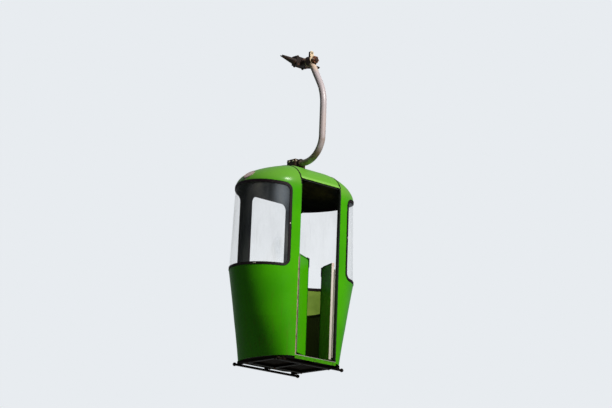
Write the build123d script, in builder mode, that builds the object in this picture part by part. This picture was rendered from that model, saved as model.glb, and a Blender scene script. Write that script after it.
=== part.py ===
# Two-seat cable car cabin with its hanger and rope grip.
# Millimetres, +Z up, +X along the rope. The origin is on the rope's axis in the middle of the grip.
# Heights of the cabin are counted from the door sill, which lies rope_to_sill below the rope.
import os
from math import cos, sin, tan, radians
from build123d import *

os.makedirs("parts", exist_ok=True)

# Rope grip and hanger
rope_diameter = 24
rope_to_sill = 2830
pivot_drop = 30
jaw_length = 150
jaw_half_width = 34
jaw_floor = 6
tongue_wall = 14
tongue_depth = 54
keeper_edge = 10
tongue_reach = 240
tongue_tip_thickness = 3
keeper_height = 30
stem_diameter = 40
stem_clearance = 0.05
shoulder_diameter = 58
eye_diameter = 92
eye_width = 72
eye_place = -146
eye_side_gap = 3
lug_hole_diameter = 18
lug_thickness = 22
lug_rise = 74
lug_wall = 12
nut_across = 62
nut_height = 32
nut_slots = 6
nut_slot_width = 8
nut_slot_depth = 10
stem_end = 10
saddle_length = 126
saddle_width = 110
saddle_seat = 30
saddle_height = 90
tube_rise = 54
tube_end = 12
collar_length = 16
collar_wall = 12
tube_diameter = 60.3
tube_wall = 5
arm_reach = 333
arm_low_bend = 220
arm_top_bend = 460
arm_top_lean = 29

# Body shell
wall = 6
floor_thickness = 16
shell_foot = -floor_thickness
door_half_width = 250
header_height = 1600
roof_spring = 1525
roof_rise = 255
roof_fullness = 2.2
roof_end_fullness = 1.25
ridge_reach = 120
ridge_straight = 60
seam_gap = 6
seal_proud = 2.5
window_side = 355
window_sill = 780
window_head = 1512
window_head_slope = 7
window_corner = 62
pane = 4
pane_gap = 5
gasket_lip = 12
gasket_proud = 4
gasket_margin = 7
side_window_half = 224
side_window_head = 1556
side_window_corner = 66
side_gasket_lip = 9
disc_diameter = 110
disc_thickness = 4
disc_height = 1621
disc_reach = 566
disc_lean = 40

# Doorway
post_width = 12
post_depth = 31
post_inset = 1.5
header_drop = 8
header_rise = 26
leaf_gap = 5
leaf_meeting_gap = 20
leaf_thickness = 22
leaf_bottom = 26
leaf_top = 908
leaf_corner = 46
leaf_open_left = 25.5
leaf_open_right = 109
hinge_plate = 2
hinge_plate_width = 11
hinge_seat_gap = 0.5
knuckle_radius = 6
pin_radius = 3
pin_clearance = 0.05
knuckle_gap = 0.6
knuckle_count = 7
knuckle_start = 14
knuckle_relief = 0.5
knuckle_lap = 1
channel_wall = 1.6
channel_lap = 8
seal_width = 9
seal_side = 2
apron_height = 36
sill_thickness = 4

# Floor, underframe and seats
bearer_height = 22
bearer_width = 36
bearer_overhang = 12
frame_half_length = 330
long_bearer_place = 180
rail_diameter = 22
rail_half_length = 388
rail_place = 287
rail_ball = 34
rail_drop = 49
rail_saddle_width = 28
rail_saddle_wall = 5
seat_front = 312
seat_height = 478
seat_side_rise = 44
seat_thickness = 8
seat_back_gap = 0.3
skirt_thickness = 6
skirt_set_back = 14

rope_radius = rope_diameter / 2
stem_radius = stem_diameter / 2
tube_radius = tube_diameter / 2


def up(height):
    """Place of a height that is counted from the door sill."""
    return height - rope_to_sill


# Plan sections of the body: height above the sill, reach of its elliptical ends, half width
BODY_SECTIONS = [
    (shell_foot, 172, 350),
    (330, 284, 350),
    (window_sill - gasket_lip - gasket_margin, 405, 350),
    (roof_spring, 365, 349),
]
# Angles round the edge of the roof at which the dome has a section
ROOF_ANGLES = [0, 14, 28, 42, 56, 70, 82]


def share_left(angle, fullness):
    """Share of the dome's reach that is left at an angle round its edge."""
    return cos(radians(angle)) ** (2 / fullness)


def plan(height, straight, end_reach, half_width):
    """A plan section at a height: two straight sides and two elliptical ends."""
    with BuildSketch(Plane.XY.offset(height)) as section:
        with BuildLine():
            Line((-straight, -half_width), (straight, -half_width))
            EllipticalCenterArc((straight, 0), end_reach, half_width, start_angle=-90, arc_size=180)
            Line((straight, half_width), (-straight, half_width))
            EllipticalCenterArc((-straight, 0), end_reach, half_width, start_angle=90, arc_size=180)
        make_face()
    return section.sketch


def body(inset):
    """The body's outer form, set in by a distance on every side."""
    walls = [
        plan(up(height), door_half_width, end_reach - inset, half_width - inset)
        for height, end_reach, half_width in BODY_SECTIONS
    ]
    end_reach, half_width = BODY_SECTIONS[-1][1:]
    full_reach = door_half_width + end_reach - inset
    dome = []
    for angle in ROOF_ANGLES:
        across = share_left(angle, roof_fullness)
        along = share_left(angle, roof_end_fullness)
        rise = sin(radians(angle)) ** (2 / roof_fullness)
        straight = ridge_straight + (door_half_width - ridge_straight) * across
        reach = ridge_reach + (full_reach - ridge_reach) * along
        level = up(roof_spring) + (roof_rise - inset) * rise
        dome.append(plan(level, straight, reach - straight, (half_width - inset) * across))
    return loft(walls, ruled=True) + loft(dome)


crown_height = roof_spring + roof_rise * sin(radians(ROOF_ANGLES[-1])) ** (2 / roof_fullness)
body_reach = 800

outer = body(0)
skin = outer - body(wall)
pane_sheet = body(1) - body(1 + pane)
gasket_sheet = body(-gasket_proud) - body(wall + gasket_proud)
lining = body(wall + seat_back_gap)


def window_prism(grow):
    """The front window's outline run across the body, grown by a distance."""
    rise = tan(radians(window_head_slope)) * (body_reach - window_side)
    low = up(window_sill) - grow
    high = up(window_head) + grow
    near = window_side - grow
    with BuildPart() as prism:
        with BuildSketch(Plane.XZ):
            with BuildLine():
                far = -body_reach
                Polyline((-near, high), (far, high + rise), (far, low), (-near, low), close=True)
            face = make_face()
            fillet(face.vertices().group_by(Axis.X)[-1], window_corner + grow)
        extrude(amount=body_reach, both=True)
    return prism.part


def side_prism(grow):
    """The far side window's outline run across the body, grown by a distance."""
    with BuildPart() as prism:
        with BuildSketch(Plane.XZ):
            with Locations((0, up((side_window_head + window_sill) / 2))):
                RectangleRounded(
                    2 * (side_window_half + grow),
                    side_window_head - window_sill + 2 * grow,
                    side_window_corner + grow,
                )
        extrude(amount=-body_reach)
    return prism.part


def block(x, y, z):
    """A box between two places along each axis, for cutting and keeping."""
    middle = Pos((x[0] + x[1]) / 2, (y[0] + y[1]) / 2, (z[0] + z[1]) / 2)
    return middle * Box(abs(x[1] - x[0]), abs(y[1] - y[0]), abs(z[1] - z[0]), mode=Mode.PRIVATE)


def keep(solid, label):
    """Label a finished piece and write it."""
    solid.label = label
    export_step(solid, "parts/" + label + ".step")
    return solid


top_limit = up(crown_height + 50)
low_limit = up(shell_foot - 50)


def keep_both(solid, name):
    """Write a front piece and its mirror image at the rear."""
    front = keep(solid, name + "_front")
    keep(mirror(solid, about=Plane.YZ), name + "_rear")
    return front


# End shells, their panes and the rubber that holds the panes
front_space = block((-body_reach, -door_half_width), (-500, 500), (low_limit, top_limit))
with BuildPart() as shell:
    add(skin & front_space)
    add(window_prism(0), mode=Mode.SUBTRACT)
keep_both(shell.part, "shell")

with BuildPart() as window:
    add(pane_sheet)
    add(window_prism(-pane_gap), mode=Mode.INTERSECT)
keep_both(window.part, "window")

with BuildPart() as gasket:
    add(gasket_sheet)
    add(window_prism(gasket_lip) - window_prism(-gasket_lip), mode=Mode.INTERSECT)
    add(shell.part, mode=Mode.SUBTRACT)
    add(window.part, mode=Mode.SUBTRACT)
keep_both(gasket.part, "gasket")

# Roof strip over the doorway, and the seals in its two seams
panel_half = door_half_width - seam_gap
with BuildPart() as roof_panel:
    add(skin & block((-panel_half, panel_half), (-500, 500), (up(header_height), top_limit)))
keep(roof_panel.part, "roof_panel")

seal_form = body(-seal_proud) - body(wall)
with BuildPart() as roof_seals:
    for side in (-1, 1):
        seam = (side * panel_half, side * door_half_width)
        add(seal_form & block(seam, (-500, 500), (up(header_height), top_limit)))
keep(roof_seals.part, "roof_seals")

# Far side panel with its fixed window
with BuildPart() as side_panel:
    add(skin & block((-door_half_width, door_half_width), (0, 500), (low_limit, up(header_height))))
    add(side_prism(0), mode=Mode.SUBTRACT)
keep(side_panel.part, "side_panel")

with BuildPart() as side_window:
    add(pane_sheet)
    add(side_prism(-pane_gap), mode=Mode.INTERSECT)
keep(side_window.part, "side_window")

with BuildPart() as side_gasket:
    add(gasket_sheet)
    add(side_prism(side_gasket_lip) - side_prism(-side_gasket_lip), mode=Mode.INTERSECT)
    add(side_panel.part, mode=Mode.SUBTRACT)
    add(side_window.part, mode=Mode.SUBTRACT)
keep(side_gasket.part, "side_gasket")

# Number discs, left blank, on the slope above each end window
disc_facing = (-sin(radians(disc_lean)), 0, cos(radians(disc_lean)))
disc_place = Plane(origin=(-disc_reach, 0, up(disc_height)), z_dir=disc_facing)
with BuildPart() as disc_core:
    with BuildSketch(disc_place.offset(-disc_diameter / 2)):
        Circle(disc_diameter / 2)
    extrude(amount=disc_diameter)
disc = (disc_core.part & body(-disc_thickness)) - outer
keep_both(disc, "number_disc")

# Door frame: two posts and a header inside the skin
side_out = BODY_SECTIONS[0][2]
post_back = -side_out + post_depth
post_form = body(post_inset)
lining_touch = body(wall)
opening_half = door_half_width - post_width
ENDS = [("front", -1), ("rear", 1)]
for end, side in ENDS:
    with BuildPart() as post:
        post_span = (side * opening_half, side * door_half_width)
        add(post_form & block(post_span, (-side_out, post_back), (up(0), up(header_height))))
    keep(post.part, "door_post_" + end)

with BuildPart() as header:
    header_span = (up(header_height - header_drop), up(header_height + header_rise))
    add(lining_touch & block((-opening_half, opening_half), (-side_out, post_back), header_span))
keep(header.part, "door_header")

# Sill: a floor strip and the apron below it
with BuildPart() as sill:
    add(block((-door_half_width, door_half_width), (-side_out, post_back), (up(-sill_thickness), up(0))))
keep(sill.part, "sill_strip")
with BuildPart() as apron:
    add(
        block(
            (-door_half_width, door_half_width),
            (-side_out, -side_out + wall),
            (up(-apron_height), up(-sill_thickness)),
        )
    )
keep(apron.part, "sill_apron")

# Floor
with BuildPart() as floor:
    add(lining & block((-700, 700), (post_back, 500), (up(-floor_thickness), up(0))))
keep(floor.part, "floor_pan")

# Underframe: three bearers across and two along, under the floor
bearer_top = up(-floor_thickness)
bearer_low = bearer_top - bearer_height
rail_saddle_half = rail_diameter / 2 + rail_saddle_wall
with BuildPart() as underframe:
    for place in (-frame_half_length, 0, frame_half_length):
        add(
            block(
                (place - bearer_width / 2, place + bearer_width / 2),
                (-rail_place - bearer_overhang, rail_place + bearer_overhang),
                (bearer_low, bearer_top),
            )
        )
    for place in (-long_bearer_place, long_bearer_place):
        add(
            block(
                (-frame_half_length, frame_half_length),
                (place - bearer_width / 2, place + bearer_width / 2),
                (bearer_low, bearer_top),
            )
        )
    for place in (-rail_place, rail_place):
        for along in (-frame_half_length, frame_half_length):
            add(
                block(
                    (along - rail_saddle_width / 2, along + rail_saddle_width / 2),
                    (place - rail_saddle_half, place + rail_saddle_half),
                    (up(-rail_drop) - rail_diameter / 4, bearer_low),
                )
            )
        with BuildSketch(Plane.YZ.offset(-body_reach)):
            with Locations((place, up(-rail_drop))):
                Circle(rail_diameter / 2)
        extrude(amount=2 * body_reach, mode=Mode.SUBTRACT)
keep(underframe.part, "underframe")

# Guide rails with balls at their ends
rail_height = up(-rail_drop)
rail_radius = rail_diameter / 2
ball_radius = rail_ball / 2
for name, place in [("near", -rail_place), ("far", rail_place)]:
    with BuildPart() as rail:
        with BuildSketch(Plane(origin=(0, place, rail_height), x_dir=(1, 0, 0), z_dir=(0, -1, 0))):
            with BuildLine():
                neck = rail_half_length - (ball_radius**2 - rail_radius**2) ** 0.5
                tip = rail_half_length + ball_radius
                Line((-tip, 0), (tip, 0))
                ThreePointArc((tip, 0), (rail_half_length, ball_radius), (neck, rail_radius))
                Line((neck, rail_radius), (-neck, rail_radius))
                ThreePointArc((-neck, rail_radius), (-rail_half_length, ball_radius), (-tip, 0))
            make_face()
        revolve(axis=Axis((0, place, rail_height), (1, 0, 0)))
    keep(rail.part, "guide_rail_" + name)

# Seats, one in each rounded end: a dished pan and a skirt below it
for end, side in ENDS:
    seat_top = up(seat_height)
    with BuildPart() as pan:
        with BuildSketch(Plane.YZ.offset(side * seat_front)):
            with BuildLine():
                edge = side_out
                ThreePointArc(
                    (-edge, seat_top + seat_side_rise), (0, seat_top), (edge, seat_top + seat_side_rise)
                )
                Line((edge, seat_top + seat_side_rise), (edge, seat_top + seat_side_rise - seat_thickness))
                ThreePointArc(
                    (edge, seat_top + seat_side_rise - seat_thickness),
                    (0, seat_top - seat_thickness),
                    (-edge, seat_top + seat_side_rise - seat_thickness),
                )
                Line((-edge, seat_top + seat_side_rise - seat_thickness), (-edge, seat_top + seat_side_rise))
            make_face()
        extrude(amount=side * body_reach)
        add(lining, mode=Mode.INTERSECT)
    keep(pan.part, "seat_" + end)
    with BuildPart() as skirt:
        skirt_face = seat_front + skirt_set_back
        skirt_span = (side * skirt_face, side * (skirt_face + skirt_thickness))
        add(lining & block(skirt_span, (-500, 500), (up(0), seat_top + seat_side_rise)))
        with BuildSketch(Plane.YZ.offset(side * (skirt_face - 1))):
            with BuildLine():
                ThreePointArc(
                    (-edge, seat_top + seat_side_rise - seat_thickness),
                    (0, seat_top - seat_thickness),
                    (edge, seat_top + seat_side_rise - seat_thickness),
                )
                Line((edge, seat_top + seat_side_rise - seat_thickness), (edge, seat_top + 80))
                Line((edge, seat_top + 80), (-edge, seat_top + 80))
                Line((-edge, seat_top + 80), (-edge, seat_top + seat_side_rise - seat_thickness))
            make_face()
        extrude(amount=side * (skirt_thickness + 2), mode=Mode.SUBTRACT)
    keep(skirt.part, "seat_skirt_" + end)

# Door leaves, hinged on the posts and opening inward
pivot_x = opening_half + 1
pivot_y = post_back + hinge_seat_gap + knuckle_radius
leaf_out = pivot_y - knuckle_radius - leaf_thickness
leaf_in = pivot_y - knuckle_radius
leaf_hinge_edge = opening_half - leaf_gap
leaf_free_edge = leaf_meeting_gap / 2
knuckle_low = leaf_bottom + knuckle_start
knuckle_high = leaf_top - leaf_corner - knuckle_start
KNUCKLES = []
span = knuckle_high - knuckle_low
step = span / knuckle_count
for index in range(knuckle_count):
    low = knuckle_low + index * step + knuckle_gap / 2
    KNUCKLES.append((index % 2 == 0, low, low + step - knuckle_gap))

leaf_width = leaf_hinge_edge - leaf_free_edge


def leaf_form(side, inset, near, far):
    """A closed leaf's outline, set in at its top and free edge, between two depths."""
    with BuildPart() as form:
        with BuildSketch(Plane.XZ.offset(-far)):
            middle = side * (leaf_hinge_edge + leaf_free_edge + inset) / 2
            with Locations((middle, up((leaf_top - inset + leaf_bottom) / 2))):
                face = Rectangle(leaf_width - inset, leaf_top - inset - leaf_bottom)
            top = face.vertices().group_by(Axis.Y)[-1].sort_by(Axis.X)
            fillet(top[0] if side > 0 else top[-1], leaf_corner - inset)
        extrude(amount=far - near)
    return form.part


LEAVES = [("left", "front", -1, leaf_open_left), ("right", "rear", 1, leaf_open_right)]
for leaf, end, side, opened in LEAVES:
    axis_x = side * pivot_x
    turn = Pos(axis_x, pivot_y, 0) * Rot(0, 0, -side * opened) * Pos(-axis_x, -pivot_y, 0)
    with BuildPart() as fixed:
        add(
            block(
                (side * pivot_x, side * (pivot_x + hinge_plate_width)),
                (post_back, post_back + hinge_plate),
                (up(knuckle_low), up(knuckle_high)),
            )
        )
        with BuildSketch(Plane.XY.offset(up(knuckle_low))):
            with Locations((axis_x, pivot_y)):
                Circle(knuckle_radius + knuckle_relief)
        extrude(amount=span, mode=Mode.SUBTRACT)
        for is_fixed, low, high in KNUCKLES:
            if is_fixed:
                with BuildSketch(Plane.XY.offset(up(low))):
                    with Locations((axis_x, pivot_y)):
                        Circle(knuckle_radius)
                    tab_x = axis_x + side * (knuckle_radius + knuckle_lap) / 2
                    with Locations((tab_x, post_back + hinge_plate / 2)):
                        Rectangle(knuckle_radius + knuckle_lap, hinge_plate)
                extrude(amount=high - low)
        with BuildSketch(Plane.XY.offset(up(knuckle_low))):
            with Locations((axis_x, pivot_y)):
                Circle(pin_radius)
        extrude(amount=span)
    keep(fixed.part, "hinge_" + end)

    edge_out = leaf_out - seal_side
    edge_in = leaf_in + seal_side
    hinge_side = block(
        (side * (leaf_hinge_edge - channel_lap), side * (leaf_hinge_edge + 1)),
        (edge_out - 1, edge_in + 1),
        (up(leaf_bottom - 1), up(leaf_top + 1)),
    )
    board_part = leaf_form(side, seal_side, leaf_out, leaf_in)
    with BuildPart() as board:
        add(board_part)
        add(Pos(side * (leaf_width - seal_side - channel_wall), 0, 0) * board_part, mode=Mode.SUBTRACT)
    with BuildPart() as rubber:
        add(leaf_form(side, 0, edge_out, edge_in))
        add(leaf_form(side, seal_width, edge_out, edge_in), mode=Mode.SUBTRACT)
        add(board_part, mode=Mode.SUBTRACT)
        add(hinge_side, mode=Mode.SUBTRACT)
    with BuildPart() as channel:
        add(
            block(
                (side * (leaf_hinge_edge - channel_lap), side * leaf_hinge_edge),
                (leaf_out - channel_wall, leaf_in),
                (up(leaf_bottom), up(leaf_top)),
            )
        )
        add(board.part, mode=Mode.SUBTRACT)
        add(
            block(
                (side * pivot_x, side * (pivot_x - hinge_plate_width)),
                (leaf_in, leaf_in + hinge_plate),
                (up(knuckle_low), up(knuckle_high)),
            )
        )
        with BuildSketch(Plane.XY.offset(up(knuckle_low))):
            with Locations((axis_x, pivot_y)):
                Circle(knuckle_radius + knuckle_relief)
        extrude(amount=span, mode=Mode.SUBTRACT)
        for is_fixed, low, high in KNUCKLES:
            if not is_fixed:
                with BuildSketch(Plane.XY.offset(up(low))):
                    with Locations((axis_x, pivot_y)):
                        Circle(knuckle_radius)
                    tab_x = axis_x - side * (knuckle_radius + knuckle_lap) / 2
                    with Locations((tab_x, leaf_in + hinge_plate / 2)):
                        Rectangle(knuckle_radius + knuckle_lap, hinge_plate)
                    with Locations((axis_x, pivot_y)):
                        Circle(pin_radius + pin_clearance, mode=Mode.SUBTRACT)
                extrude(amount=high - low)
    keep(turn * board.part, "door_" + leaf + "_panel")
    keep(turn * rubber.part, "door_" + leaf + "_seal")
    keep(turn * channel.part, "door_" + leaf + "_channel")

# Hanger arm: a bent tube from the roof block out past the doorway and up to the eye
tube_height = up(crown_height + tube_rise)
start = (saddle_width / 2 - tube_end, tube_height)
bend_start = (arm_low_bend - arm_reach, tube_height)
lean = radians(arm_top_lean)
eye_height = -pivot_drop
top_bend_out = (-arm_reach + arm_top_bend * (1 - cos(lean)), 0)
top_run_rise = (eye_place - top_bend_out[0]) / sin(lean) * cos(lean)
top_bend_high = eye_height - top_run_rise
top_bend_low = top_bend_high - arm_top_bend * sin(lean)
arm_points = [
    (0, start[0], tube_height),
    (0, bend_start[0], tube_height),
    (0, -arm_reach, tube_height + arm_low_bend),
    (0, -arm_reach, top_bend_low),
    (0, top_bend_out[0], top_bend_high),
    (0, eye_place, eye_height),
]
low_middle = (
    0,
    bend_start[0] - arm_low_bend * sin(radians(45)),
    tube_height + arm_low_bend * (1 - cos(radians(45))),
)
top_middle = (
    0,
    -arm_reach + arm_top_bend * (1 - cos(lean / 2)),
    top_bend_low + arm_top_bend * sin(lean / 2),
)
with BuildPart() as arm:
    with BuildLine() as arm_path:
        Line(arm_points[0], arm_points[1])
        ThreePointArc(arm_points[1], low_middle, arm_points[2])
        Line(arm_points[2], arm_points[3])
        ThreePointArc(arm_points[3], top_middle, arm_points[4])
        Line(arm_points[4], arm_points[5])
    with BuildSketch(Plane.XZ.offset(-start[0])):
        with Locations((0, tube_height)):
            Circle(tube_radius)
            Circle(tube_radius - tube_wall, mode=Mode.SUBTRACT)
    sweep(path=arm_path.line)
    with BuildSketch(Plane.XZ.offset(-eye_place - eye_width)):
        with Locations((0, eye_height)):
            Circle(eye_diameter / 2)
    extrude(amount=2 * eye_width, mode=Mode.SUBTRACT)
keep(arm.part, "hanger_arm")

# Eye at the arm's top, with a lug for the maintenance sling
with BuildPart() as eye:
    with BuildSketch(Plane.XZ.offset(-eye_place - eye_width / 2)):
        with Locations((0, eye_height)):
            Circle(eye_diameter / 2)
    extrude(amount=eye_width)
    with BuildSketch(Plane.XZ.offset(-eye_place - lug_thickness / 2)):
        with Locations((0, eye_height + lug_rise)):
            Circle(lug_hole_diameter / 2 + lug_wall)
        with Locations((0, eye_height + lug_rise / 2)):
            Rectangle(lug_hole_diameter + 2 * lug_wall, lug_rise)
    extrude(amount=lug_thickness)
    with BuildSketch(Plane.XZ.offset(-eye_place - eye_width)):
        with Locations((0, eye_height + lug_rise)):
            Circle(lug_hole_diameter / 2)
        with Locations((0, eye_height)):
            Circle(stem_radius + stem_clearance)
    extrude(amount=2 * eye_width, mode=Mode.SUBTRACT)
keep(eye.part, "hanger_eye")

# Block on the roof that the arm's lower end is clamped in, and its collar
with BuildPart() as saddle:
    add(
        block(
            (-saddle_length / 2, saddle_length / 2),
            (-saddle_width / 2, saddle_width / 2),
            (up(crown_height - saddle_seat), up(crown_height + saddle_height)),
        )
    )
    add(outer, mode=Mode.SUBTRACT)
    with BuildSketch(Plane.XZ.offset(-start[0])):
        with Locations((0, tube_height)):
            Circle(tube_radius)
    extrude(amount=saddle_width, mode=Mode.SUBTRACT)
keep(saddle.part, "saddle_block")

with BuildPart() as collar:
    with BuildSketch(Plane.XZ.offset(saddle_width / 2)):
        with Locations((0, tube_height)):
            Circle(tube_radius + collar_wall)
            Circle(tube_radius, mode=Mode.SUBTRACT)
    extrude(amount=collar_length)
keep(collar.part, "arm_collar")

# Grip: a jaw with its stem, a keeper on the other side of the rope, and the stem's nut
tongue_root = rope_radius + tongue_wall
with BuildPart() as jaw:
    add(
        block(
            (-jaw_length / 2, jaw_length / 2),
            (-jaw_half_width, jaw_half_width),
            (-pivot_drop - stem_radius - jaw_floor, 0),
        )
    )
    with BuildSketch(Plane.XZ.offset(-jaw_half_width)):
        with Locations((0, -pivot_drop)):
            Circle(stem_radius)
    extrude(amount=jaw_half_width - eye_place + eye_width / 2 + nut_height + stem_end)
    with BuildSketch(Plane.XZ):
        with Locations((0, -pivot_drop)):
            Circle(shoulder_diameter / 2)
    extrude(amount=-eye_place - eye_width / 2 - eye_side_gap)
    for side in (-1, 1):
        with BuildSketch(Plane.YZ.offset(side * jaw_length / 2)):
            with BuildLine():
                Line((-tongue_root, 0), (tongue_root, 0))
                ThreePointArc((tongue_root, 0), (0, -tongue_depth), (-tongue_root, 0))
            make_face()
        with BuildSketch(Plane.YZ.offset(side * tongue_reach)):
            with BuildLine():
                tip = rope_radius + tongue_tip_thickness
                Line((-tip, 0), (tip, 0))
                ThreePointArc((tip, 0), (0, -tip), (-tip, 0))
            make_face()
        loft()
    with BuildSketch(Plane.YZ.offset(-2 * tongue_reach)):
        Circle(rope_radius)
    extrude(amount=4 * tongue_reach, mode=Mode.SUBTRACT)
keep(jaw.part, "grip_jaw")

with BuildPart() as keeper:
    add(
        block(
            (-jaw_length / 2, jaw_length / 2),
            (-jaw_half_width, jaw_half_width),
            (0, keeper_height),
        )
    )
    fillet(keeper.edges().filter_by(Axis.X).group_by(Axis.Z)[-1], keeper_edge)
    with BuildSketch(Plane.YZ.offset(-tongue_reach)):
        Circle(rope_radius)
    extrude(amount=2 * tongue_reach, mode=Mode.SUBTRACT)
keep(keeper.part, "grip_keeper")

nut_front = eye_place - eye_width / 2 - eye_side_gap
with BuildPart() as nut:
    with BuildSketch(Plane.XZ.offset(-nut_front)):
        with Locations((0, -pivot_drop)):
            RegularPolygon(nut_across / 2, 6, major_radius=False)
            Circle(stem_radius, mode=Mode.SUBTRACT)
    extrude(amount=nut_height)
    with BuildSketch(Plane.XZ.offset(-nut_front + nut_height - nut_slot_depth)):
        with Locations((0, -pivot_drop)):
            with PolarLocations(nut_across / 2, nut_slots, start_angle=180 / nut_slots):
                Rectangle(nut_across, nut_slot_width)
    extrude(amount=nut_height, mode=Mode.SUBTRACT)
keep(nut.part, "stem_nut")
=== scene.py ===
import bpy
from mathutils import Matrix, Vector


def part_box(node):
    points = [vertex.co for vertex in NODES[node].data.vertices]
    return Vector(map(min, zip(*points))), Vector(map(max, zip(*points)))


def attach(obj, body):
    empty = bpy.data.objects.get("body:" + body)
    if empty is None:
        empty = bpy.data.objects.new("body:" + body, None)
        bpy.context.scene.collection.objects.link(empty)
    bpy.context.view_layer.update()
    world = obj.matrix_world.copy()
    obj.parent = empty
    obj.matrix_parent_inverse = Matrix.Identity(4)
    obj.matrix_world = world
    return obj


bl_info = {
    "name": "Cable car cabin",
    "version": (1, 0, 0),
    "blender": (4, 5, 0),
    "location": "3D View > Sidebar > Cabin",
    "description": "Finishes a two-seat cable car cabin, its hanger and its rope grip",
    "category": "Object",
}

from math import asin, cos, pi, radians, sin, sqrt, tan

import bmesh
import bpy
from mathutils import Matrix, Vector

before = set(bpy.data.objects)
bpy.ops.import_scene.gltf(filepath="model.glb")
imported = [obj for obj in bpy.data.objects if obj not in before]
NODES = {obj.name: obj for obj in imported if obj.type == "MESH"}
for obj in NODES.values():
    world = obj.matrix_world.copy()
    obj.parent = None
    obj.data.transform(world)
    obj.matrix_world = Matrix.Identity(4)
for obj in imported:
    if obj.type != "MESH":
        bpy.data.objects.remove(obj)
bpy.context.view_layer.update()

# The camera stands below the cabin, at floor level, to one side of its doorway
CAMERA_PLACE = (-12.097, -13.084, -5.869)
CAMERA_HEADING = 43.09
CAMERA_PITCH = 14.18
CAMERA_ROLL = 2.16
CAMERA_LENS = 118.4
FLOOR_HEIGHT = CAMERA_PLACE[2] - 0.06

# Strength of the sky's light, and how much of the pale backdrop the gloss mirrors
SKY_LIGHT = 0.055
GLOSSY_SHARE = 0.28

# Name, place, width, power and tint of each lamp, and the place that all of them aim at
LAMPS = (
    ("key", (0.3, -11.5, 7.0), 3.6, 2450, (1.0, 0.97, 0.93)),
    ("fill", (-10, -8, -1.0), 6.0, 6, (0.92, 0.96, 1.0)),
    ("back", (5, 11, 3.0), 7.0, 900, (1.0, 0.98, 0.95)),
)
LAMP_AIM = Vector((0, 0, -1.6))


def linear(red, green, blue):
    """A colour written as it looks on a screen, 0 to 255, turned to linear light."""
    shares = (red / 255, green / 255, blue / 255)
    light = [s / 12.92 if s <= 0.04045 else ((s + 0.055) / 1.055) ** 2.4 for s in shares]
    return (*light, 1.0)


class Value:
    """One number that varies over a surface; arithmetic on it adds Math nodes."""

    def __init__(self, tree, socket):
        self.tree = tree
        self.socket = socket

    def math(self, operation, *others):
        """Adds a Math node that takes this value first and then the others."""
        node = self.tree.nodes.new("ShaderNodeMath")
        node.operation = operation
        for place, item in enumerate((self, *others)):
            if isinstance(item, Value):
                self.tree.links.new(item.socket, node.inputs[place])
            else:
                node.inputs[place].default_value = item
        return Value(self.tree, node.outputs[0])

    def __add__(self, other):
        return self.math("ADD", other)

    def __sub__(self, other):
        return self.math("SUBTRACT", other)

    def __rsub__(self, other):
        return (self * -1) + other

    def __mul__(self, other):
        return self.math("MULTIPLY", other)

    __rmul__ = __mul__

    def __abs__(self):
        return self.math("ABSOLUTE")

    def smooth(self, low, high):
        """0 below low, 1 above high and a smooth rise between them."""
        node = self.tree.nodes.new("ShaderNodeMapRange")
        node.interpolation_type = "SMOOTHSTEP"
        self.tree.links.new(self.socket, node.inputs["Value"])
        node.inputs["From Min"].default_value = low
        node.inputs["From Max"].default_value = high
        return Value(self.tree, node.outputs["Result"])


class Finish:
    """A material whose nodes are added one call at a time."""

    def __init__(self, name, **constants):
        self.material = bpy.data.materials.new(name)
        self.material.use_nodes = True
        self.tree = self.material.node_tree
        self.shader = self.tree.nodes["Principled BSDF"]
        for socket, value in constants.items():
            self.shader.inputs[socket.replace("_", " ")].default_value = value
        self.place = self.tree.nodes.new("ShaderNodeTexCoord").outputs["Object"]
        split = self.add("ShaderNodeSeparateXYZ", {}, {"Vector": self.place})
        self.x, self.y, self.z = (Value(self.tree, socket) for socket in split.outputs)

    def add(self, kind, settings, inputs):
        """Adds a node, makes its settings and then fills or links its sockets."""
        node = self.tree.nodes.new(kind)
        for name, value in settings.items():
            setattr(node, name, value)
        for name, value in inputs.items():
            if isinstance(value, Value):
                value = value.socket
            if isinstance(value, bpy.types.NodeSocket):
                self.tree.links.new(value, node.inputs[name])
            else:
                node.inputs[name].default_value = value
        return node

    def noise(self, scale, detail=4.0, roughness=0.55, stretch=(1, 1, 1)):
        """Cloudy noise from 0 to 1; stretch above 1 narrows it along that axis."""
        scaled = self.add("ShaderNodeMapping", {}, {"Vector": self.place, "Scale": stretch})
        inputs = {
            "Vector": scaled.outputs["Vector"],
            "Scale": scale,
            "Detail": detail,
            "Roughness": roughness,
        }
        return Value(self.tree, self.add("ShaderNodeTexNoise", {}, inputs).outputs["Fac"])

    def cells(self, scale):
        """Distance to the nearest of many scattered points."""
        inputs = {"Vector": self.place, "Scale": scale}
        return Value(self.tree, self.add("ShaderNodeTexVoronoi", {}, inputs).outputs["Distance"])

    def patch(self, centre, size):
        """1 at a place, fading to 0 at the given distances along each axis."""
        inputs = {"Vector": self.place, "Location": centre, "Scale": size}
        near = self.add("ShaderNodeMapping", {"vector_type": "TEXTURE"}, inputs).outputs["Vector"]
        length = self.add("ShaderNodeVectorMath", {"operation": "LENGTH"}, {0: near})
        return 1 - Value(self.tree, length.outputs["Value"]).smooth(0.1, 1.0)

    def blend(self, share, first, second):
        """The first colour where share is 0, the second where it is 1."""
        inputs = {0: share, 6: first, 7: second}
        return self.add("ShaderNodeMix", {"data_type": "RGBA"}, inputs).outputs[2]

    def colour(self, socket, name="Base Color"):
        """Feeds a colour to the shader."""
        self.tree.links.new(socket, self.shader.inputs[name])

    def vary(self, name, value):
        """Feeds a varying number to one of the shader's sockets."""
        self.tree.links.new(value.socket, self.shader.inputs[name])

    def bump(self, height, strength, distance=0.001):
        """Small relief from a height that varies over the surface."""
        inputs = {"Height": height, "Strength": strength, "Distance": distance}
        node = self.add("ShaderNodeBump", {}, inputs)
        self.tree.links.new(node.outputs["Normal"], self.shader.inputs["Normal"])


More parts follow.
